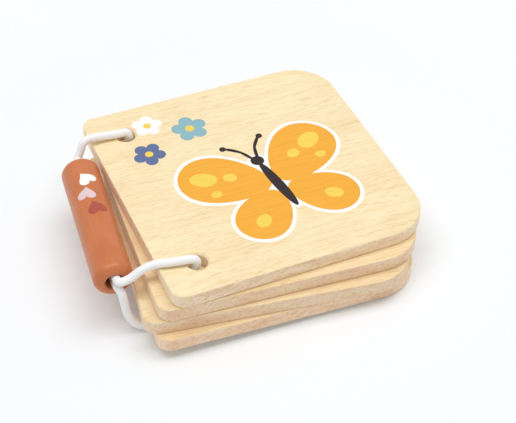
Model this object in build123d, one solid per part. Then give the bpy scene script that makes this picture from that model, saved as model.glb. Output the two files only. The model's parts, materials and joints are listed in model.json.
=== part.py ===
from build123d import *
from math import atan2, degrees, pi, radians, tan
import os

os.makedirs("parts", exist_ok=True)

# A baby's book of four square beech boards, bound by one loop of round elastic
# cord. The cord passes through two holes in every board and through the bore
# of a turned handle that lies along the spine. Lengths are in millimetres and
# angles in degrees. The book is drawn lying flat and square to its back cover,
# the spine on the left and the near edge towards the reader, and is tilted onto
# the table at the end.

# Boards
board_width = 120.0  # spine edge to fore edge
board_height = 121.9  # near edge to far edge
board_thickness = 6.67
spine_corner_radius = 6.0
fore_corner_radius = 20.0
board_edge_round = 0.6

# Binding holes, the same two in every board
hole_diameter = 8.8
hole_from_spine = 16.4
hole_from_end = 17.0
hole_edge_break = 0.8

# The closed book is fanned. Each board, from the table up, lists how far its
# near hole has slid from the back cover's, across and along, and its turn.
stack = {
    "back_cover": (0.0, 0.0, 0.0),
    "rear_page": (-3.15, 3.9, -4.35),
    "front_page": (1.8, 3.85, -0.55),
    "front_cover": (6.7, 4.1, 4.0),
}

# Handle, a cylinder with rounded ends and a straight bore
handle_diameter = 17.2
handle_length = 73.0
handle_end_round = 3.8
handle_bore = 7.9
bore_edge_break = 0.5
handle_end_land = 0.3  # flat ring left on its end between the round and the bore's edge
handle_gap = 0.75  # from its side to the back cover's spine edge, seen from above
handle_slide = 1.95  # towards the far edge from the middle of the spine
handle_turn = -2.7
boards_below_handle = 3  # its axis is level with the top of this many boards

# Cord
cord_diameter = 3.7
cord_bend = 3.3  # radius of its tight turns at a hole's edge and at the handle's ends
cord_clearance = 0.1
cord_rise = 0.41  # a strand's height above the board that it runs along
cord_join_gap = 0.3  # its two ends meet in the middle of the handle's bore
bend_share = 0.47  # the most of a straight run that the bend at one of its ends may take
upper_strand_reach = 2.1  # how far the strands stand out of the handle's ends
lower_strand_reach = 2.4
near_entry = -0.2  # across from the middle of the cover's hole to where the cord enters it
far_entry = 1.2

# Where the cord runs free it bends at points chosen by hand. Each is a step across, along
# and up: on a rise from the handle's upper mouth, on an arch from where the cord enters the
# cover, and on a drop from the lower mouth, with its height over the strands below the book.
near_rise = [(5.6, -1.1, 0.1)]
near_arch = [(-23.5, 2.8, -2.8), (-17.3, 2.1, -0.1)]
far_arch = [(-20.3, -1.9, 0.0)]
near_drop = [(6.3, -4.6, 0.0), (2.9, -3.1, 7.3)]
far_drop = [(3.9, 1.8, 0.0), (1.1, 1.2, 7.3)]

# What follows from these sizes
cord_radius = cord_diameter / 2
hole_radius = hole_diameter / 2
handle_radius = handle_diameter / 2
stack_height = len(stack) * board_thickness
strand_offset = cord_radius + cord_clearance  # the two strands in the bore
strand_height = cord_radius + cord_rise  # a strand's line above a board's face
hug = hole_radius - strand_offset  # a strand's place against a hole's wall
handle_centre = Vector(
    -handle_radius - handle_gap,
    board_height / 2 + handle_slide,
    boards_below_handle * board_thickness,
)
hinge_direction = Vector(0, 1, 0).rotate(Axis.Z, handle_turn)


def near_hole(name):
    """Where a board's near hole stands in plan."""
    across, along, turn = stack[name]
    return Vector(hole_from_spine + across, hole_from_end + along, 0)


def far_hole(name):
    """Where a board's far hole stands in plan: its near hole's place and its turn."""
    between = Vector(0, board_height - 2 * hole_from_end, 0)
    return near_hole(name) + between.rotate(Axis.Z, stack[name][2])


def on_handle_axis(along, up=0):
    """A point on the handle's axis, or over it, at a distance from its middle."""
    return handle_centre + hinge_direction * along + Vector(0, 0, up)


def board():
    """One board, its near hole over the origin and its underside on the ground."""
    corner = Pos(-hole_from_spine, -hole_from_end, 0)
    outline = corner * Rectangle(board_width, board_height, align=(Align.MIN, Align.MIN))
    middle = board_width / 2 - hole_from_spine
    outline = fillet(outline.vertices().filter_by(lambda v: v.X < middle), spine_corner_radius)
    squared = outline.vertices().filter_by(lambda v: v.X > board_width - hole_from_spine - 0.01)
    outline = fillet(squared, fore_corner_radius)
    blank = extrude(outline, board_thickness)
    blank = fillet(blank.faces().filter_by(Axis.Z).edges(), board_edge_round)
    drill = Cylinder(hole_radius, board_thickness, align=(Align.CENTER, Align.CENTER, Align.MIN))
    blank = blank - drill - Pos(0, board_height - 2 * hole_from_end, 0) * drill
    rims = blank.faces().filter_by(Axis.Z).edges().filter_by(
        lambda e: e.geom_type == GeomType.CIRCLE and abs(e.radius - hole_radius) < 0.001
    )
    return chamfer(rims, hole_edge_break)


def handle():
    """The handle, its axis along Y and its middle on the origin."""
    bore_radius = handle_bore / 2
    wall = handle_radius - bore_radius
    section = Pos(bore_radius, 0) * Rectangle(wall, handle_length, align=(Align.MIN, Align.CENTER))
    end_round = min(handle_end_round, wall - bore_edge_break - handle_end_land)
    outer = section.vertices().filter_by(lambda v: v.X > handle_radius - 0.001)
    section = fillet(outer, end_round)
    inner = section.vertices().filter_by(lambda v: v.X < bore_radius + 0.001)
    section = chamfer(inner, bore_edge_break)
    return revolve(section, Axis.Y)


def through_boards(hole, entry):
    """The cord's corner points down through one hole of every board. Between two boards it
    passes midway between their holes, which the fan has slid apart, and where it leaves it
    hugs the rim that faces the spine."""
    names = list(stack)[::-1]
    points = [hole(names[0]) + Vector(entry, 0, stack_height + strand_height)]
    for above, below in zip(names, names[1:]):
        level = list(stack).index(above) * board_thickness
        points.append((hole(above) + hole(below)) * 0.5 + Vector(0, 0, level))
    points.append(hole(names[-1]) - Vector(hug, 0, strand_height))
    return points


def bend_radii(points, tight):
    """A radius for every corner of a route: the largest that leaves a little of the shorter
    run beside it straight, and where the corner is a tight one no more than the cord's bend."""
    radii = []
    for before, corner, after in zip(points, points[1:], points[2:]):
        run_in = corner - before
        run_out = after - corner
        turn = run_in.get_angle(run_out)
        radius = bend_share * min(run_in.length, run_out.length) / tan(radians(turn / 2))
        if corner in tight:
            radius = min(radius, cord_bend)
        radii.append(radius)
    return radii


def steps_from(place, height, steps):
    """Points at these steps across and along from a place, and up from a height."""
    return [Vector(place.X + across, place.Y + along, height + up) for across, along, up in steps]


def cord_route():
    """The whole loop, from the middle of the bore out of the handle's near end, round
    the near holes, back through the bore, round the far holes and home."""
    half = handle_length / 2
    upper_exit = half + upper_strand_reach
    lower_exit = half + lower_strand_reach
    under = -strand_height
    over = stack_height + strand_height
    near_mouth = on_handle_axis(-upper_exit, strand_offset)
    near_return = on_handle_axis(-lower_exit, -strand_offset)
    far_return = on_handle_axis(lower_exit, -strand_offset)
    far_mouth = on_handle_axis(upper_exit, strand_offset)
    near_stack = through_boards(near_hole, near_entry)
    far_stack = through_boards(far_hole, far_entry)
    points = [
        on_handle_axis(-cord_join_gap / 2, strand_offset),
        near_mouth,
        *steps_from(near_mouth, near_mouth.Z, near_rise),
        *steps_from(near_stack[0], over, near_arch),
        *near_stack,
        *steps_from(near_return, under, near_drop),
        near_return,
        far_return,
        *steps_from(far_return, under, far_drop)[::-1],
        *far_stack[::-1],
        *steps_from(far_stack[0], over, far_arch),
        far_mouth,
        on_handle_axis(cord_join_gap / 2, strand_offset),
    ]
    tight = [near_mouth, near_return, far_return, far_mouth, *near_stack, *far_stack]
    return points, bend_radii(points, tight)


def elastic_cord():
    """The cord, a round section carried along its whole route."""
    points, radii = cord_route()
    route = FilletPolyline(*points, radius=radii)
    start = Plane(origin=route @ 0, z_dir=route % 0)
    cord = sweep(start * Circle(cord_radius), path=route)
    print("cord length", round(route.length, 1), "radii", [round(r, 1) for r in radii])
    share = cord.volume / (route.length * pi * cord_radius**2)
    print("cord volume over section times length", round(share, 4))
    return cord


# The pieces, flat and square to the back cover
pieces = {"elastic_cord": elastic_cord()}
pieces["handle"] = Pos(handle_centre) * Rot(0, 0, handle_turn) * handle()
one_board = board()
for level, name in enumerate(stack):
    place = near_hole(name) + Vector(0, 0, level * board_thickness)
    pieces[name] = Pos(place) * Rot(0, 0, stack[name][2]) * one_board

# The book lies on the fore edge of its back cover and on the two strands of
# cord that pass under its spine side, which tilts it.
strand_depth = strand_height + cord_radius
support_span = board_width - board_edge_round - hole_from_spine + hug + cord_bend
rest_tilt = degrees(atan2(strand_depth, support_span))
tilted = {name: Rot(0, rest_tilt, 0) * piece for name, piece in pieces.items()}
box = Compound(list(tilted.values())).bounding_box()
table = tilted["back_cover"].bounding_box().min.Z
to_origin = Pos(-box.center().X, -box.center().Y, -table)

for name, piece in tilted.items():
    export_step(to_origin * piece, f"parts/{name}.step")

seat = to_origin * Rot(0, rest_tilt, 0)
hinge = seat * Pos(handle_centre)
print("tilt", rest_tilt, "moved by", to_origin.position, "size", box.size)
print("hinge point", hinge.position, "towards", (seat * Pos(on_handle_axis(-1))).position - hinge.position)
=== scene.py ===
import json
import math

import bpy
import numpy as np
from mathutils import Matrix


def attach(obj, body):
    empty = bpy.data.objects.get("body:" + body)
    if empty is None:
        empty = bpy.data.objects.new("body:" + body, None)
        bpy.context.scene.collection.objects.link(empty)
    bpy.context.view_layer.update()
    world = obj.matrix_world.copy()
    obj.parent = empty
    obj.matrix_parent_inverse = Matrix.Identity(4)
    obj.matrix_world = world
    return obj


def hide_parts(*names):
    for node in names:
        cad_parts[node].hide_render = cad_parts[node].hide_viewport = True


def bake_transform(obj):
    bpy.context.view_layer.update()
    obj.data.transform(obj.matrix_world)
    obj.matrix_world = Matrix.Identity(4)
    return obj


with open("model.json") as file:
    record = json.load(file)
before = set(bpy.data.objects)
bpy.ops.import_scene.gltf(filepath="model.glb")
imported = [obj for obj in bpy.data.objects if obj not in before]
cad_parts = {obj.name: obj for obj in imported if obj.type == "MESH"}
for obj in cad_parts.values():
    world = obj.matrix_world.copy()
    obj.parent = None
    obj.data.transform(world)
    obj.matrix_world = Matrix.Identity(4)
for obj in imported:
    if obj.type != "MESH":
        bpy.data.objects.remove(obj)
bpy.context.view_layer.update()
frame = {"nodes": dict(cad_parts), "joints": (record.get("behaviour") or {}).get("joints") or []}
nodes = frame["nodes"]


# Boards. Four plates of solid beech, sawn, rounded at the corners, drilled
# twice and sanded smooth, with no lacquer. Their grain runs from the spine to
# the fore edge. The plates themselves are the model's own solids.

mm = 1000  # millimetres in a metre
board_thickness = 6.67

# The book lies tilted, on the fore edge of its back cover and on the two strands of cord
# below it. Every board turns about the handle's middle, which the frame gives a place.
strand_depth = 4.11  # from the back cover down to the table, at the strands
support_span = 108.75  # from the strands to the fore edge
book_tilt = math.atan2(strand_depth, support_span)
handle_middle = np.array([-9.35, 62.9, 3 * board_thickness])
hinge = next(joint for joint in frame["joints"] if joint["name"] == "handle_spin")


def about_y(points, angle):
    """Points turned about the Y axis: the new X is the old X times the cosine plus the old Z
    times the sine, and the new Z is the old Z times the cosine less the old X times the sine."""
    p = np.asarray(points, float)
    c, s = math.cos(angle), math.sin(angle)
    return np.stack([c * p[..., 0] + s * p[..., 2], p[..., 1], c * p[..., 2] - s * p[..., 0]], -1)


def turned(points, degrees):
    """Points of a plane turned about its origin: the new X is the old X times the cosine less
    the old Y times the sine, and the new Y is the old X times the sine plus the old Y times
    the cosine."""
    p = np.asarray(points, float)
    c, s = math.cos(math.radians(degrees)), math.sin(math.radians(degrees))
    return np.stack([c * p[..., 0] - s * p[..., 1], s * p[..., 0] + c * p[..., 1]], -1)


book_shift = np.array(hinge["pos_m"]) * mm - about_y(handle_middle, book_tilt)


def book_point(points):
    """Millimetres on the flat book, square to its back cover, as metres in the row frame:
    turned by the tilt, then slid so that the handle's middle comes to its place."""
    return (about_y(points, book_tilt) + book_shift) / mm


def paint(red, green, blue):
    """A colour read 0 to 255, as the linear light that a shader takes. A screen's curve
    is a straight line for the darkest tones and a power of 2.4 above them."""
    v = np.array([red, green, blue]) / 255
    linear = np.where(v <= 0.04045, v / 12.92, ((v + 0.055) / 1.055) ** 2.4)
    return (*linear, 1.0)


def grey(value):
    """A grey as a shader's colour."""
    return (value, value, value, 1.0)


# The closed book is fanned. From the table up, each board lists how far its near hole is from
# the back cover's spine edge, its turn in degrees, where in the tree it was sawn, and a colour
# that multiplies its wood. For the three boards under the cover that colour is darker: partly
# their own, partly painted shade for the shade that falls on them under the boards above.
boards = {
    "back_cover": (16.4, 0.0, (278, -10, 20), paint(252, 245, 243)),
    "rear_page": (13.25, -4.35, (-160, 215, 95), paint(247, 241, 238)),
    "front_page": (18.2, -0.55, (40, -375, -60), paint(249, 243, 240)),
    "front_cover": (23.1, 4.0, (-34, -42, 0), paint(255, 255, 255)),
}
pattern_start = -300.0  # where the wood's pattern starts, along the spine from the book's middle

# Each pattern in the wood is noise with so many waves a millimetre along the grain, across
# it and through the board, and has its colours at their places between low and high.
drift_waves = (0.012, 0.035, 0.06)
cloud_waves = (0.025, 0.05, 0.05)
streak_waves = (0.022, 0.55, 0.4)
pore_waves = (0.12, 2.0, 1.4)
fibre_waves = (0.2, 4.5, 3.0)
blotch_waves = (0.06, 0.3, 0.2)
fleck_waves = (0.42, 1.4, 2.3)
ring_waves = (0.3, 1.5, 0.09)
plain = paint(255, 255, 255)  # leaves the colour that it multiplies as it is
cloud_colours = [(0.35, paint(252, 248, 243)), (0.6, plain)]
streak_colours = [(0.34, paint(247, 226, 182)), (0.47, paint(251, 233, 192)),
                  (0.6, paint(252, 236, 197)), (0.72, paint(251, 231, 187))]
pore_colours = [(0.34, paint(239, 226, 206)), (0.43, plain)]
fibre_colours = [(0.36, paint(246, 240, 230)), (0.52, plain)]
blotch_colours = [(0.3, paint(243, 210, 174)), (0.5, paint(255, 229, 195)), (0.7, paint(255, 238, 208))]
fleck_colours = [(0.36, paint(222, 200, 174)), (0.5, plain)]
ring_colours = [(0.32, paint(240, 212, 179)), (0.5, paint(255, 234, 204)), (0.68, paint(255, 240, 214))]
grain_wander = 7.0  # millimetres by which the grain strays from straight
fleck_slant = math.radians(14)


def add_node(tree, kind, x, y, **settings):
    """One shader node at a place in its tree, with its settings."""
    n = tree.nodes.new(kind)
    n.location = (x, y)
    for name, value in settings.items():
        setattr(n, name, value)
    return n


def feed(tree, socket, value):
    """A node's input takes another node's output, or a fixed value."""
    if isinstance(value, bpy.types.NodeSocket):
        tree.links.new(value, socket)
    else:
        socket.default_value = value


def maths(tree, x, y, operation, *values, **settings):
    """One sum on numbers, each of them another node's output or fixed."""
    n = add_node(tree, "ShaderNodeMath", x, y, operation=operation, **settings)
    for socket, value in zip(n.inputs, values):
        feed(tree, socket, value)
    return n.outputs["Value"]


def vector_maths(tree, x, y, operation, *values):
    """One sum on vectors, each of them another node's output or fixed. A length is a number."""
    n = add_node(tree, "ShaderNodeVectorMath", x, y, operation=operation)
    for socket, value in zip(n.inputs, values):
        feed(tree, socket, value)
    return n.outputs["Value" if operation == "LENGTH" else "Vector"]


def rotated(tree, source, axis, angle, x, y):
    """A vector turned about one axis."""
    n = add_node(tree, "ShaderNodeVectorRotate", x, y, rotation_type=axis)
    n.inputs["Angle"].default_value = angle
    tree.links.new(source, n.inputs["Vector"])
    return n.outputs["Vector"]


def in_millimetres(tree, source, x, y, location=(0, 0, 0), rotation=(0, 0, 0)):
    """Coordinates in metres made millimetres, turned and moved."""
    n = add_node(tree, "ShaderNodeMapping", x, y)
    n.inputs["Scale"].default_value = (mm, mm, mm)
    n.inputs["Rotation"].default_value = rotation
    n.inputs["Location"].default_value = location
    tree.links.new(source, n.inputs["Vector"])
    return n.outputs["Vector"]


def stretched_noise(tree, source, waves, detail, x, y, roughness=0.55):
    """Noise on coordinates in millimetres, with its own number of waves along each axis."""
    stretch = add_node(tree, "ShaderNodeMapping", x, y, vector_type="POINT")
    stretch.inputs["Scale"].default_value = waves
    noise = add_node(tree, "ShaderNodeTexNoise", x + 200, y)
    noise.inputs["Scale"].default_value = 1.0
    noise.inputs["Detail"].default_value = detail
    noise.inputs["Roughness"].default_value = roughness
    tree.links.new(source, stretch.inputs["Vector"])
    tree.links.new(stretch.outputs["Vector"], noise.inputs["Vector"])
    return noise.outputs["Fac"]


def ramp(tree, source, stops, x, y):
    """A colour ramp with the stops given as (place, colour)."""
    n = add_node(tree, "ShaderNodeValToRGB", x, y)
    first, last = n.color_ramp.elements
    first.position, first.color = stops[0]
    last.position, last.color = stops[-1]
    for place, colour in stops[1:-1]:
        n.color_ramp.elements.new(place).color = colour
    tree.links.new(source, n.inputs["Fac"])
    return n.outputs["Color"]


def between(tree, source, low, high, x, y):
    """A number from nought to one made one between two limits."""
    n = add_node(tree, "ShaderNodeMapRange", x, y)
    n.inputs["To Min"].default_value = low
    n.inputs["To Max"].default_value = high
    tree.links.new(source, n.inputs["Value"])
    return n.outputs["Result"]


def blend_colour(tree, factor, a, b, x, y, how="MIX"):
    """Two colours mixed, each another node's output or fixed."""
    n = add_node(tree, "ShaderNodeMix", x, y, data_type="RGBA", blend_type=how)
    for socket, value in ((n.inputs["Factor"], factor), (n.inputs["A"], a), (n.inputs["B"], b)):
        feed(tree, socket, value)
    return n.outputs["Result"]


def tinted(tree, colour, pattern, stops, strength, x, y):
    """A colour multiplied by a pattern's own colours, as far as the strength says."""
    return blend_colour(tree, strength, colour, ramp(tree, pattern, stops, x - 300, y), x, y, "MULTIPLY")


def new_material(name, specular):
    """A new material, its node tree and its main shader."""
    mat = bpy.data.materials.new(name)
    mat.use_nodes = True
    shader = mat.node_tree.nodes["Principled BSDF"]
    shader.inputs["Specular IOR Level"].default_value = specular
    return mat, mat.node_tree, shader


def add_relief(tree, shader, height, strength, depth, x, y):
    """A shader's bump, worked out from a height, with its depth in metres."""
    bump = add_node(tree, "ShaderNodeBump", x, y)
    bump.inputs["Strength"].default_value = strength
    bump.inputs["Distance"].default_value = depth
    tree.links.new(height, bump.inputs["Height"])
    tree.links.new(bump.outputs["Normal"], shader.inputs["Normal"])


def beech_group():
    """Shader group for sanded beech. Its Place is in millimetres along the grain, across it and
    through the board, and Facing is the surface's direction on the same axes. Cut is where in the
    tree the board was sawn. The two faces show long faint streaks and short dashes of the pores,
    the long edges are darker and blotched, and the two ends show the cut growth rings as upright
    lines. The fourth input multiplies the whole colour: the board's own colour, and for the boards
    under the cover also painted shade."""
    g = bpy.data.node_groups.new("beech", "ShaderNodeTree")
    for name, kind in (("Place", "Vector"), ("Facing", "Vector"), ("Cut", "Vector"), ("Tint and shade", "Color")):
        g.interface.new_socket(name, in_out="INPUT", socket_type="NodeSocket" + kind)
    for name, kind in (("Colour", "Color"), ("Roughness", "Float"), ("Height", "Float")):
        g.interface.new_socket(name, in_out="OUTPUT", socket_type="NodeSocket" + kind)
    link = g.links.new
    come = add_node(g, "NodeGroupInput", -1600, 0)
    go = add_node(g, "NodeGroupOutput", 1400, 0)
    place = vector_maths(g, -1500, 200, "ADD", come.outputs["Place"], come.outputs["Cut"])

    # The grain wanders a little as it runs across the board.
    drift = stretched_noise(g, place, drift_waves, 2.0, -1400, 300)
    sway = add_node(g, "ShaderNodeCombineXYZ", -1000, 480)
    link(drift, sway.inputs["Y"])
    push = (sway.outputs["Vector"], (0, grain_wander, 0), place)
    wandering = vector_maths(g, -900, 300, "MULTIPLY_ADD", *push)

    clouds = stretched_noise(g, place, cloud_waves, 2.0, -700, 750)
    streaks = stretched_noise(g, wandering, streak_waves, 4.0, -700, 500, 0.62)
    pores = stretched_noise(g, wandering, pore_waves, 2.0, -700, 250, 0.6)
    fibres = stretched_noise(g, wandering, fibre_waves, 3.0, -700, 0, 0.7)
    face = ramp(g, streaks, streak_colours, -300, 500)
    face = tinted(g, face, clouds, cloud_colours, 1.0, 0, 600)
    face = tinted(g, face, pores, pore_colours, 0.8, 200, 500)
    face = tinted(g, face, fibres, fibre_colours, 0.8, 400, 400)

    # The long edges show the side of the same grain, darker and blotched, with slanting flecks.
    slant = add_node(g, "ShaderNodeMapping", -1000, -700, vector_type="POINT")
    slant.inputs["Rotation"].default_value = (0, fleck_slant, 0)
    link(place, slant.inputs["Vector"])
    blotches = stretched_noise(g, place, blotch_waves, 3.0, -700, -500, 0.6)
    flecks = stretched_noise(g, slant.outputs["Vector"], fleck_waves, 3.0, -700, -750, 0.65)
    side = ramp(g, blotches, blotch_colours, -300, -500)
    side = tinted(g, side, flecks, fleck_colours, 0.7, 0, -600)

    # The ends at the spine and the fore edge show rings cut across, as upright lines.
    rings = stretched_noise(g, place, ring_waves, 3.0, -700, -1000, 0.65)
    end = ramp(g, rings, ring_colours, -300, -1000)

    # A surface that faces along the grain is an end, and one that faces up or down is a face.
    parts = add_node(g, "ShaderNodeSeparateXYZ", -300, 1000)
    link(come.outputs["Facing"], parts.inputs["Vector"])
    along = maths(g, -100, 850, "ABSOLUTE", parts.outputs["X"])
    up = maths(g, -100, 1000, "ABSOLUTE", parts.outputs["Z"])
    is_end = ramp(g, along, [(0.4, grey(0.0)), (0.85, grey(1.0))], 100, 850)
    is_face = ramp(g, up, [(0.3, grey(0.0)), (0.8, grey(1.0))], 100, 1100)
    edge = blend_colour(g, is_end, side, end, 600, -300)
    all_over = blend_colour(g, is_face, edge, face, 900, 100)
    # Painted shade: the last colour darkens the boards under the cover, partly their own colour and partly
    # for the shade under the boards above.
    tinted_and_shaded = blend_colour(g, 1.0, all_over, come.outputs["Tint and shade"], 1200, 100, "MULTIPLY")

    link(tinted_and_shaded, go.inputs["Colour"])
    link(between(g, streaks, 0.66, 0.54, 900, -200), go.inputs["Roughness"])
    link(maths(g, 900, -400, "ADD", pores, fibres), go.inputs["Height"])
    return g


beech = beech_group()


def beech_board(name, hole_across, turn, cut, tint_and_shade):
    """Beech for one board. Its own turn and the book's tilt are undone first, so the grain
    runs square across that board. Places count from a start in line with its near hole."""
    mat, tree, shader = new_material("beech_" + name, 0.3)
    coords = add_node(tree, "ShaderNodeTexCoord", -1100, 0)
    squared = []
    for out, y in (("Object", 100), ("Normal", -300)):
        level = rotated(tree, coords.outputs[out], "Y_AXIS", -book_tilt, -900, y)
        squared.append(rotated(tree, level, "Z_AXIS", -math.radians(turn), -700, y))
    start = (hole_across + about_y(book_shift, -book_tilt)[0], pattern_start)
    place = in_millimetres(tree, squared[0], -500, 100, location=(*-turned(start, -turn), 0))
    wood = add_node(tree, "ShaderNodeGroup", -250, 0)
    wood.node_tree = beech
    for socket, value in (("Place", place), ("Facing", squared[1]), ("Cut", cut), ("Tint and shade", tint_and_shade)):
        feed(tree, wood.inputs[socket], value)
    tree.links.new(wood.outputs["Colour"], shader.inputs["Base Color"])
    tree.links.new(wood.outputs["Roughness"], shader.inputs["Roughness"])
    add_relief(tree, shader, wood.outputs["Height"], 0.25, 0.00008, 0, -300)
    return mat


def dress(node, material):
    """A solid of the model takes one material all over."""
    node.data.materials.clear()
    node.data.materials.append(material)


for name, (hole_across, turn, cut, tint_and_shade) in boards.items():
    dress(nodes[name], beech_board(name, hole_across, turn, cut, tint_and_shade))


# Handle. A turned wooden cylinder with rounded ends and a bore, dipped in a
# satin paint. The model's own solid has its shape.

handle_turn = -2.7
handle_radius = 8.6
along_handle = np.array([*turned((0, 1), handle_turn), 0])
across_handle = np.array([*turned((1, 0), handle_turn), 0])

# Waves a millimetre across the handle, along it and up, and the paint's colours.
tint_waves = (0.14, 0.06, 0.14)
turned_grain_waves = (1.6, 0.06, 1.6)
skin_waves = (2.2, 2.2, 2.2)
terracotta = [(0.3, paint(201, 116, 69)), (0.7, paint(211, 126, 78))]
grain_shade = [(0.35, paint(244, 240, 236)), (0.6, plain)]
grain_height = 1.5  # of the grain under the paint, over the height of the paint's own skin


def painted_wood():
    """Satin terracotta paint over fine wood: a faint cloud in the colour, and streaks along
    the handle that just show through as relief."""
    mat, tree, shader = new_material("terracotta_paint", 0.4)
    coords = add_node(tree, "ShaderNodeTexCoord", -1200, 0)
    lengthwise = rotated(tree, coords.outputs["Object"], "Z_AXIS", -math.radians(handle_turn), -1000, 0)
    place = in_millimetres(tree, lengthwise, -800, 0)
    tint = stretched_noise(tree, place, tint_waves, 3.0, -600, 200)
    grain = stretched_noise(tree, place, turned_grain_waves, 3.0, -600, -100)
    skin = stretched_noise(tree, place, skin_waves, 2.0, -600, -400)
    colour = tinted(tree, ramp(tree, tint, terracotta, -200, 200), grain, grain_shade, 0.45, 100, 0)
    tree.links.new(colour, shader.inputs["Base Color"])
    tree.links.new(between(tree, skin, 0.27, 0.36, 60, -60), shader.inputs["Roughness"])
    height = maths(tree, -200, -250, "MULTIPLY_ADD", grain, grain_height, skin)
    add_relief(tree, shader, height, 0.2, 0.00006, 0, -250)
    return mat


dress(nodes["handle"], painted_wood())


# Elastic cord. One loop of round rubber cord in a white braided cover, drawn
# tight: through the handle's bore, down the near holes, back through the bore
# and down the far holes. Its two ends meet in the bore.

cord_radius = 1.85
strand = cord_radius + 0.1  # each of the two strands in the bore runs this far from its axis
cord_sides = 28
ring_spacing = 0.4  # along the cord
closed_end = 0.02  # radius to which the last ring at a stretch's end is drawn in
threads_round = 16  # of the braid, each way round the cord
thread_pitch = 0.9  # along the cord
braid_colours = [(0.0, paint(251, 251, 251)), (0.8, paint(254, 254, 254))]


def on_axis(along, up, across=0.0):
    """A point on the handle's axis at a distance along it from its middle, over it and beside it."""
    return handle_middle + along * along_handle + across * across_handle + np.array([0, 0, up])


near_route = [
    # Out along the bore's upper side
    on_axis(-0.15, strand), on_axis(-14, strand, 0.4), on_axis(-30, strand, 0.5), on_axis(-37.2, strand, 0.6),
    # Round the handle's end and over the cover
    (-9.2, 23.4, 22.4), (-5.0, 24.2, 22.6), (-0.6, 24.2, 26.0), (5.6, 23.4, 28.8), (13.0, 21.8, 28.8),
    # Down the holes
    (24.0, 20.7, 29.2), (20.7, 21.0, 20.0), (15.7, 20.9, 13.3), (14.8, 18.9, 6.7), (13.9, 17.0, -2.6),
    # Under the book and up to the bore
    (5.5, 17.9, -2.25), (-1.2, 19.0, -2.25), (-5.2, 20.1, 0.0), (-7.9, 21.5, 4.9), (-8.6, 22.4, 12.0),
    (-9.3, 23.0, 17.5),
    # Back along the bore's lower side
    on_axis(-37.2, -strand, 0.6), on_axis(-31, -strand, 0.4), on_axis(-15, -strand), on_axis(0, -strand),
]
far_route = [
    # Out along the bore's upper side
    on_axis(0.15, strand), on_axis(14, strand), on_axis(30, strand),
    # Round the handle's end and over the cover
    (-7.5, 104.0, 22.1), (-5.2, 105.2, 25.2), (-3.4, 106.6, 29.6), (0.2, 107.6, 30.0), (6.5, 107.9, 29.4),
    (13.0, 107.8, 29.0),
    # Down the holes
    (18.4, 107.7, 29.2), (18.0, 108.6, 20.0), (18.9, 108.6, 13.3), (17.7, 106.8, 6.7), (13.9, 104.9, -2.6),
    # Under the book and up to the bore
    (5.5, 104.2, -2.25), (-0.6, 103.8, -2.25), (-4.4, 103.5, -0.8), (-6.3, 103.1, 4.1), (-7.0, 102.8, 12.0),
    (-7.4, 103.6, 18.0),
    # Back along the bore's lower side
    on_axis(31, -strand), on_axis(15, -strand), on_axis(0, -strand),
]


def read_at(places, known, line):
    """A line read at new places along it: each coordinate lies evenly between its neighbours."""
    return np.stack([np.interp(places, known, line[:, axis]) for axis in range(3)], 1)


def smooth_line(points):
    """Points in millimetres spaced evenly along a spline of order 3, which has the given ones
    as its control points, and how far along it each one is."""
    curve = bpy.data.curves.new("line", "CURVE")
    curve.dimensions = "3D"
    curve.resolution_u = 32
    spline = curve.splines.new("NURBS")
    spline.points.add(len(points) - 1)
    weighted = np.ones((len(points), 4))
    weighted[:, :3] = np.array([tuple(p) for p in points])
    spline.points.foreach_set("co", weighted.ravel())
    spline.order_u = 3
    spline.use_endpoint_u = True
    holder = bpy.data.objects.new("line", curve)
    mesh = bpy.data.meshes.new_from_object(holder)
    line = np.zeros(len(mesh.vertices) * 3)
    mesh.vertices.foreach_get("co", line)
    line = line.reshape(-1, 3)
    bpy.data.objects.remove(holder)
    bpy.data.meshes.remove(mesh)
    reach = np.r_[0, np.cumsum(np.linalg.norm(np.diff(line, axis=0), axis=1))]
    even = np.linspace(0, reach[-1], int(reach[-1] / ring_spacing) + 1)
    return read_at(even, reach, line), even


def ring_frames(line):
    """Two directions square to the line at each point, carried along it with no twist: each
    pair is the last one with what lies along the new direction taken off."""
    ahead = np.gradient(line, axis=0)
    ahead /= np.linalg.norm(ahead, axis=1)[:, None]
    side = np.zeros_like(line)
    side[0] = np.cross(ahead[0], (0, 0, 1.0))
    side[0] /= np.linalg.norm(side[0])
    for i in range(1, len(line)):
        carried = side[i - 1] - ahead[i] * (side[i - 1] @ ahead[i])
        side[i] = carried / np.linalg.norm(carried)
    return side, np.cross(ahead, side)


def full_turn(steps):
    """Even angles round a full turn."""
    return np.linspace(0, 2 * math.pi, steps, endpoint=False)


def ring_faces(rings, sides, first=0):
    """The four-cornered faces between neighbouring rings of points, each ring closed on itself.
    The points are numbered ring by ring from the first."""
    index = np.arange(rings * sides).reshape(rings, sides) + first
    index = np.concatenate([index, index[:, :1]], axis=1)
    corners = [index[:-1, :-1], index[:-1, 1:], index[1:, 1:], index[1:, :-1]]
    return np.stack(corners, -1).reshape(-1, 4)


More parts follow.
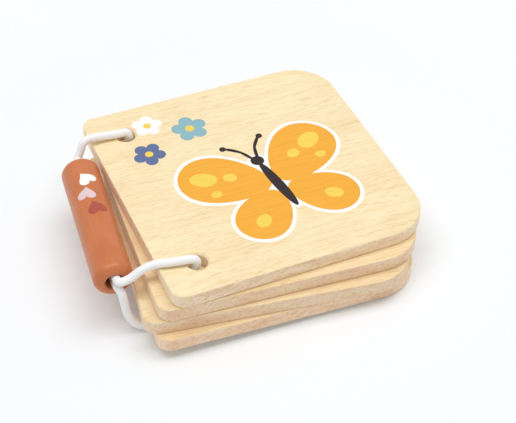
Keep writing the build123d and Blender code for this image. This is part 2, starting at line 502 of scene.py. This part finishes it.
def cord_tube(name, line, reach):
    """A tube round a line: each ring is the line's point plus the cord's radius times the
    cosine and sine of the angle on its two square directions. Both ends are closed by a
    ring drawn in to the line. The uv is millimetres along and around."""
    side, other = ring_frames(line)
    line, side, other = (np.concatenate([v[:1], v, v[-1:]]) for v in (line, side, other))
    reach = np.r_[reach[0], reach, reach[-1]]
    size = np.full(len(line), cord_radius)
    size[[0, -1]] = closed_end
    angle = full_turn(cord_sides)
    ring = np.cos(angle)[None, :, None] * side[:, None] + np.sin(angle)[None, :, None] * other[:, None]
    points = book_point(line[:, None] + ring * size[:, None, None])
    faces = ring_faces(len(line), cord_sides)
    mesh = bpy.data.meshes.new(name)
    mesh.from_pydata(points.reshape(-1, 3).tolist(), [], faces.tolist())
    around = np.linspace(0, 2 * math.pi * cord_radius, cord_sides + 1)
    uv = np.stack(np.broadcast_arrays(reach[:, None], around[None, :]), -1)
    corner = np.stack([uv[:-1, :-1], uv[:-1, 1:], uv[1:, 1:], uv[1:, :-1]], 2)
    layer = mesh.uv_layers.new(name="along_and_around")
    layer.data.foreach_set("uv", corner.astype(np.float32).ravel())
    mesh.polygons.foreach_set("use_smooth", np.ones(len(faces), bool))
    mesh.update()
    return mesh


def show(name, mesh, material):
    """A finished mesh becomes a piece of the scene, with its material."""
    piece = bpy.data.objects.new(name, mesh)
    bpy.context.scene.collection.objects.link(piece)
    mesh.materials.append(material)
    return piece


def braided_cover():
    """White braid over rubber. Two sets of fine threads cross on the surface, so the relief is
    the product of two waves, one turning each way round the cord."""
    mat, tree, shader = new_material("white_braid", 0.3)
    uv = add_node(tree, "ShaderNodeUVMap", -1200, 0, uv_map="along_and_around")
    parts = add_node(tree, "ShaderNodeSeparateXYZ", -1000, 0)
    tree.links.new(uv.outputs["UV"], parts.inputs["Vector"])
    waves_round = threads_round / cord_radius
    waves = []
    for direction, y in ((1, 200), (-1, -200)):
        pitch = maths(tree, -1000, y, "MULTIPLY", parts.outputs["X"], 2 * math.pi / thread_pitch)
        slant = maths(tree, -800, y, "MULTIPLY_ADD", parts.outputs["Y"], direction * waves_round, pitch)
        waves.append(maths(tree, -600, y, "SINE", slant))
    crossing = maths(tree, -400, 0, "MULTIPLY", *waves)
    tree.links.new(ramp(tree, crossing, braid_colours, -200, 200), shader.inputs["Base Color"])
    add_relief(tree, shader, crossing, 0.35, 0.00006, -200, -200)
    shader.inputs["Roughness"].default_value = 0.55
    shader.inputs["Sheen Weight"].default_value = 0.1
    return mat


# The cord is shown in stretches. Those that run in one board each follow it. The short ones
# between two boards and the three in the bore are baked where they lie and follow no board.
white_braid = braided_cover()
bodies = ["back", "rear_leaf", "front_leaf", "cover"]  # from the table up
board_gaps = [level * board_thickness for level in (1, 2, 3)]
gap_reach = 0.9  # a short stretch between two boards ends this far to each side of its gap
bend_steps = 40
twist_ends = [24, 28, 32, 36]  # from the bore's middle, where the stretches in the bore meet
over_cover = 28  # only the cord over the cover runs higher than this


def cord_stretch(name, body, line, reach):
    """A stretch of cord that follows one body."""
    piece = show(name, cord_tube(name, line, reach), white_braid)
    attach(piece, body)
    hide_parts("elastic_cord")


def cord_bend(name, body, next_body, line, reach):
    """A short stretch of cord, baked where it lies; the two bodies that it is given are not used.
    Its line is read again at even steps, so that it has more rings."""
    steps = np.arange(len(line))
    fine = np.linspace(0, len(line) - 1, bend_steps + 1)
    mesh = cord_tube(name, read_at(fine, steps, line), np.interp(fine, steps, reach))
    piece = show(name, mesh, white_braid)
    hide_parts("elastic_cord")
    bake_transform(piece)


def lay_cord(end, route):
    """One half of the loop, from the middle of the bore and back to it, cut in the bore and
    where its height passes the top and the bottom of each gap between two boards."""
    line, reach = smooth_line(route)
    height = line[:, 2]
    top = int(np.argmax(height > over_cover))

    def at_height(z):
        """Where the line passes a height on its way down through the holes."""
        return top + int(np.argmax(height[top:] < z)) - 1

    def cut(first, last):
        """The line from one of its points to another, and how far along it they are."""
        return line[first:last + 1], reach[first:last + 1]

    cuts = [int(np.argmax(reach > twist_end)) for twist_end in twist_ends]
    cord_stretch(f"cord_{end}_in_handle", "back", *cut(0, cuts[0]))
    for first, last, below, above in zip(cuts, cuts[1:], bodies, bodies[1:]):
        cord_bend(f"cord_{end}_{above}_twist", below, above, *cut(first, last))
    start = cuts[-1]
    downwards = bodies[::-1]
    for gap, above, below in zip(board_gaps[::-1], downwards, downwards[1:]):
        high, low = at_height(gap + gap_reach), at_height(gap - gap_reach)
        cord_stretch(f"cord_{end}_{above}", above, *cut(start, high))
        cord_bend(f"cord_{end}_{above}_bend", above, below, *cut(high, low))
        start = low
    cord_stretch(f"cord_{end}_under", "back", *cut(start, len(line) - 1))


lay_cord("near", near_route)
lay_cord("far", far_route)


# Print on the front cover. Opaque ink, printed flat on the sanded wood: an
# orange butterfly with yellow spots and a white rim, and three small flowers.

hole_from_spine = 16.4  # of the cover's near hole, on the cover
hole_from_end = 17.0
cover_hole_across, cover_turn = boards["front_cover"][:2]
cover_hole = np.array([cover_hole_across, 21.1])  # the same hole's place on the flat book
cover_top = 4 * board_thickness
ink_step = 0.045  # one layer of ink over the last
field_step = 0.12  # share of a layer by which each field of a piece stands over the one before
ink_bite = 0.02  # how far the edge of a field goes into the wood
edge_share = 0.985  # a field is flat this far out from its middle, and falls beyond
middle_share = 0.02
mottle_waves = (0.05, 0.9, 0.5)  # a millimetre, along the cover's grain, across it and through
mottle_tone = np.array([0.975, 0.97, 0.965])  # share of its colour that the ink keeps there


def on_cover(points, height):
    """Points given from the cover's spine edge and near edge, in millimetres, with a height
    over its face, in metres in the row frame."""
    from_hole = np.asarray(points, float) - np.array([hole_from_spine, hole_from_end])
    flat = turned(from_hole, cover_turn) + cover_hole
    level = np.full(flat.shape[:-1] + (1,), cover_top + height)
    return book_point(np.concatenate([flat, level], -1))


def egg(centre, half_length, half_width, lean=0, taper=0.0, grow=0.0):
    """An egg's outline: its length times the cosine of the angle, and its width times the sine,
    wider towards one end by the taper, then turned by the lean."""
    t = full_turn(96)
    x = (half_length + grow) * np.cos(t)
    y = (half_width + grow) * np.sin(t) * (1 + taper * np.cos(t))
    return np.array(centre) + turned(np.stack([x, y], -1), lean)


def flower(centre, radius, turn, petals=5, notch=0.62):
    """A flower's outline: a circle whose radius swells with the size of a cosine, once for each
    petal, from the notches between the petals to their tips."""
    t = full_turn(160)
    swell = np.abs(np.cos(petals * (t - math.radians(turn)) / 2)) ** 0.7
    r = radius * (notch + (1 - notch) * swell)
    return np.array(centre) + np.stack([r * np.cos(t), r * np.sin(t)], -1)


def heart(centre, size, lean):
    """A heart's outline: across, the cube of a sine; up, a cosine less its second, third and
    fourth overtones; then turned by the lean."""
    t = full_turn(120)
    x = size * np.sin(t) ** 3
    y = size * (13 * np.cos(t) - 5 * np.cos(2 * t) - 2 * np.cos(3 * t) - np.cos(4 * t)) / 16
    return np.array(centre) + turned(np.stack([x, y], -1), lean)


def stroke(points, half_width):
    """A pen stroke's outline along a bent line through three points: the line is their
    parabola, and the two sides stand off it by the half width."""
    t = np.linspace(0, 1, 40)[:, None]
    a, b, c = (np.array(p, float) for p in points)
    line = (1 - t) ** 2 * a + 2 * t * (1 - t) * b + t**2 * c
    ahead = np.gradient(line, axis=0)
    ahead /= np.linalg.norm(ahead, axis=1)[:, None]
    off = np.stack([-ahead[:, 1], ahead[:, 0]], -1) * half_width
    return np.concatenate([line + off, (line - off)[::-1]])


def ink_field(name, outlines, place, layer, material, body, rings=4):
    """Fields of one ink as one thin piece. Each is its outline drawn in to its middle ring by
    ring, a layer high inside and falling to the surface over its outer ring. Every field of
    the piece stands a hair above the one before it, so that none lie in one plane."""
    points, faces = [], []
    shares = np.r_[1.0, np.linspace(edge_share, middle_share, rings)]
    for k, outline in enumerate(outlines):
        middle = outline.mean(0)
        heights = np.r_[-ink_bite, np.full(rings, ink_step * (layer + field_step * k))]
        faces += ring_faces(len(shares), len(outline), sum(map(len, points))).tolist()
        points += [place(middle + (outline - middle) * s, h) for s, h in zip(shares, heights)]
    mesh = bpy.data.meshes.new(name)
    mesh.from_pydata(np.concatenate(points).tolist(), [], faces)
    mesh.update()
    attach(show(name, mesh, material), body)


def ink(name, red, green, blue):
    """Matt ink on wood: its colour with a faint mottle, and the grain's streaks as relief."""
    mat, tree, shader = new_material(name, 0.3)
    coords = add_node(tree, "ShaderNodeTexCoord", -1000, 0)
    unturn = (0, 0, -math.radians(cover_turn))
    place = in_millimetres(tree, coords.outputs["Object"], -800, 0, rotation=unturn)
    mottle = stretched_noise(tree, place, mottle_waves, 3.0, -600, 100)
    full = np.array([red, green, blue])
    stops = [(0.35, paint(*full * mottle_tone)), (0.6, paint(*full))]
    tree.links.new(ramp(tree, mottle, stops, -200, 100), shader.inputs["Base Color"])
    add_relief(tree, shader, mottle, 0.15, 0.00005, -200, -200)
    shader.inputs["Roughness"].default_value = 0.5
    return mat


white_ink = ink("white_ink", 255, 254, 250)
orange_ink = ink("orange_ink", 246, 176, 60)
yellow_ink = ink("yellow_ink", 249, 214, 92)
dark_ink = ink("dark_ink", 44, 32, 30)
teal_ink = ink("teal_ink", 142, 186, 196)
slate_ink = ink("slate_ink", 98, 114, 158)

# The butterfly is drawn about its own middle. Each egg lists its middle, half length, half
# width, lean and taper.
butterfly_middle = np.array([67.0, 49.0])
butterfly_lean = 8.0
wing_rim = 1.7
body_rim = 1.4
wing_eggs = [((19.5, 12.5), 21.0, 14.5, 36, 0.25), ((15.0, -14.5), 16.0, 12.0, -42, 0.2)]
spot_eggs = [((27.5, 17.5), 6.2, 4.4, 30), ((16.5, 13.0), 3.2, 2.6, 30), ((27.0, 6.5), 2.6, 2.1, 0),
             ((18.0, -18.0), 4.2, 3.2, -40)]
body_eggs = [((0, -1.0), 2.5, 16.0), ((0, 16.8), 3.1, 3.1)]


def both_sides(outline):
    """An outline and its mirror image on the butterfly's other side, run the same way round."""
    return [outline, (outline * np.array([-1, 1]))[::-1]]


def print_butterfly(name, outlines, layer, material):
    """Fields of the butterfly, turned by its lean and put on the cover."""
    placed = [turned(outline, butterfly_lean) + butterfly_middle for outline in outlines]
    ink_field(name, placed, on_cover, layer, material, "cover")


wings = [wing for e in wing_eggs for wing in both_sides(egg(*e))]
rims = [rim for e in wing_eggs for rim in both_sides(egg(*e, grow=wing_rim))]
rims += [egg(*e, grow=body_rim) for e in body_eggs]
spots = [spot for e in spot_eggs for spot in both_sides(egg(*e))]
feelers = both_sides(stroke([(0.8, 17.0), (2.5, 27.0), (9.0, 31.0)], 0.55))
knobs = both_sides(egg((9.6, 31.2), 1.5, 1.5))

print_butterfly("ink_rim", rims, 1, white_ink)
print_butterfly("ink_wings", wings, 2, orange_ink)
print_butterfly("ink_spots", spots, 3, yellow_ink)
print_butterfly("ink_body", [egg(*e) for e in body_eggs] + feelers + knobs, 3, dark_ink)

# Each flower lists its ink, its middle, its radius, its turn and its yellow heart's radius.
flowers = {
    "teal": (teal_ink, (45.0, 98.0), 8.6, 20, 2.1),
    "slate": (slate_ink, (21.5, 88.0), 7.6, 50, 1.9),
    "white": (white_ink, (27.5, 107.0), 7.2, 5, 1.8),
}
for name, (flower_ink, middle, radius, turn, _) in flowers.items():
    ink_field("ink_flower_" + name, [flower(middle, radius, turn)], on_cover, 1, flower_ink, "cover")
flower_hearts = [egg(middle, radius, radius) for _, middle, _, _, radius in flowers.values()]
ink_field("ink_flower_hearts", flower_hearts, on_cover, 2, yellow_ink, "cover")


# Print on the handle. Three small hearts in a row along its upper side, in
# opaque ink printed round the curve over the terracotta paint.

pink_ink = ink("pink_ink", 233, 207, 210)
brick_ink = ink("brick_ink", 177, 86, 68)
heart_rings = 14  # more than on the flat cover, so that a heart follows the round

# Each heart lists its ink, its middle along the handle and round it, its size and its lean.
hearts = {
    "white": (white_ink, (20.5, 0.6), 4.3, 60),
    "pink": (pink_ink, (11.0, -1.4), 4.2, 100),
    "brick": (brick_ink, (1.4, 1.0), 4.4, 75),
}


def on_handle(points, height):
    """Points given along the handle from its middle and round it from its top, both in
    millimetres, on its side with a height over it: the second is laid round as an arc."""
    p = np.asarray(points, float)
    angle = p[..., 1] / handle_radius
    r = handle_radius + height
    flat = (handle_middle + p[..., :1] * along_handle
            + (r * np.sin(angle))[..., None] * across_handle
            + (r * np.cos(angle))[..., None] * np.array([0, 0, 1.0]))
    return book_point(flat)


for name, (heart_ink, middle, size, lean) in hearts.items():
    outline = heart(middle, size, lean)
    ink_field("ink_heart_" + name, [outline], on_handle, 2, heart_ink, "handle", heart_rings)


# The studio, which is no part of the book. A plain pale floor that clears to
# white away from the book, a soft lamp above, a white surround and the camera.


def seen_white(tree, x, y):
    """One for a ray from the camera and for one off a glossy or through a clear surface, which
    shows the same white surround, and nought for the light that falls on the book."""
    rays = add_node(tree, "ShaderNodeLightPath", x, y)
    total = rays.outputs["Is Camera Ray"]
    for more in ("Is Glossy Ray", "Is Transmission Ray"):
        x += 200
        total = maths(tree, x, y, "ADD", total, rays.outputs[more], use_clamp=True)
    return total


floor_reach = 6.0
corners = [(x * floor_reach, y * floor_reach, 0) for x, y in ((-1, -1), (1, -1), (1, 1), (-1, 1))]
floor_mesh = bpy.data.meshes.new("floor")
floor_mesh.from_pydata(corners, [], [(0, 1, 2, 3)])
floor_paint, ground, matt = new_material("floor_paint", 0.0)
matt.inputs["Base Color"].default_value = paint(247, 250, 253)
matt.inputs["Roughness"].default_value = 0.9
glow = add_node(ground, "ShaderNodeEmission", -200, 300)
glow.inputs["Strength"].default_value = 1.0

# The share of the floor's own white that a ray sees rises with the distance from the book's
# middle, in metres.
floor_place = add_node(ground, "ShaderNodeTexCoord", -1000, 700)
from_book = vector_maths(ground, -800, 700, "LENGTH", floor_place.outputs["Object"])
clearing = add_node(ground, "ShaderNodeMapRange", -600, 700, interpolation_type="SMOOTHSTEP")
for limit, value in (("From Min", 0.12), ("From Max", 0.27), ("To Min", 0.1), ("To Max", 1.0)):
    clearing.inputs[limit].default_value = value
ground.links.new(from_book, clearing.inputs["Value"])
share = maths(ground, -200, 500, "MULTIPLY", seen_white(ground, -800, 500), clearing.outputs["Result"])
paler = add_node(ground, "ShaderNodeMixShader", 200, 200)
ground.links.new(share, paler.inputs["Fac"])
ground.links.new(matt.outputs["BSDF"], paler.inputs[1])
ground.links.new(glow.outputs["Emission"], paler.inputs[2])
ground.links.new(paler.outputs["Shader"], ground.nodes["Material Output"].inputs["Surface"])
floor = show("floor", floor_mesh, floor_paint)

world = bpy.data.worlds.new("surround")
bpy.context.scene.world = world
world.use_nodes = True
sky = world.node_tree
for n in list(sky.nodes):
    sky.nodes.remove(n)
white = add_node(sky, "ShaderNodeBackground", -400, 0)
white.inputs["Strength"].default_value = 1.0
light = add_node(sky, "ShaderNodeBackground", -400, -150)
light.inputs["Strength"].default_value = 0.63
choose = add_node(sky, "ShaderNodeMixShader", -150, 0)
sky_out = add_node(sky, "ShaderNodeOutputWorld", 100, 0)
sky.links.new(seen_white(sky, -900, 200), choose.inputs["Fac"])
sky.links.new(light.outputs["Background"], choose.inputs[1])
sky.links.new(white.outputs["Background"], choose.inputs[2])
sky.links.new(choose.outputs["Shader"], sky_out.inputs["Surface"])

lamp = bpy.data.lights.new("soft_box", "AREA")
lamp.shape = "RECTANGLE"
lamp.size = 1.6
lamp.size_y = 0.6
lamp.energy = 10.0
soft_box = bpy.data.objects.new("soft_box", lamp)
bpy.context.scene.collection.objects.link(soft_box)
soft_box.location = (0.05, 0.0, 1.2)

camera = bpy.data.cameras.new("camera")
camera.lens = 95.52
camera.sensor_width = 36
viewer = bpy.data.objects.new("camera", camera)
bpy.context.scene.collection.objects.link(viewer)
viewer.location = (-0.1333, -0.424016, 0.436432)
viewer.rotation_euler = (0.804997, 0.014881, -0.343406)
bpy.context.scene.camera = viewer
bpy.context.scene.view_settings.view_transform = "Standard"
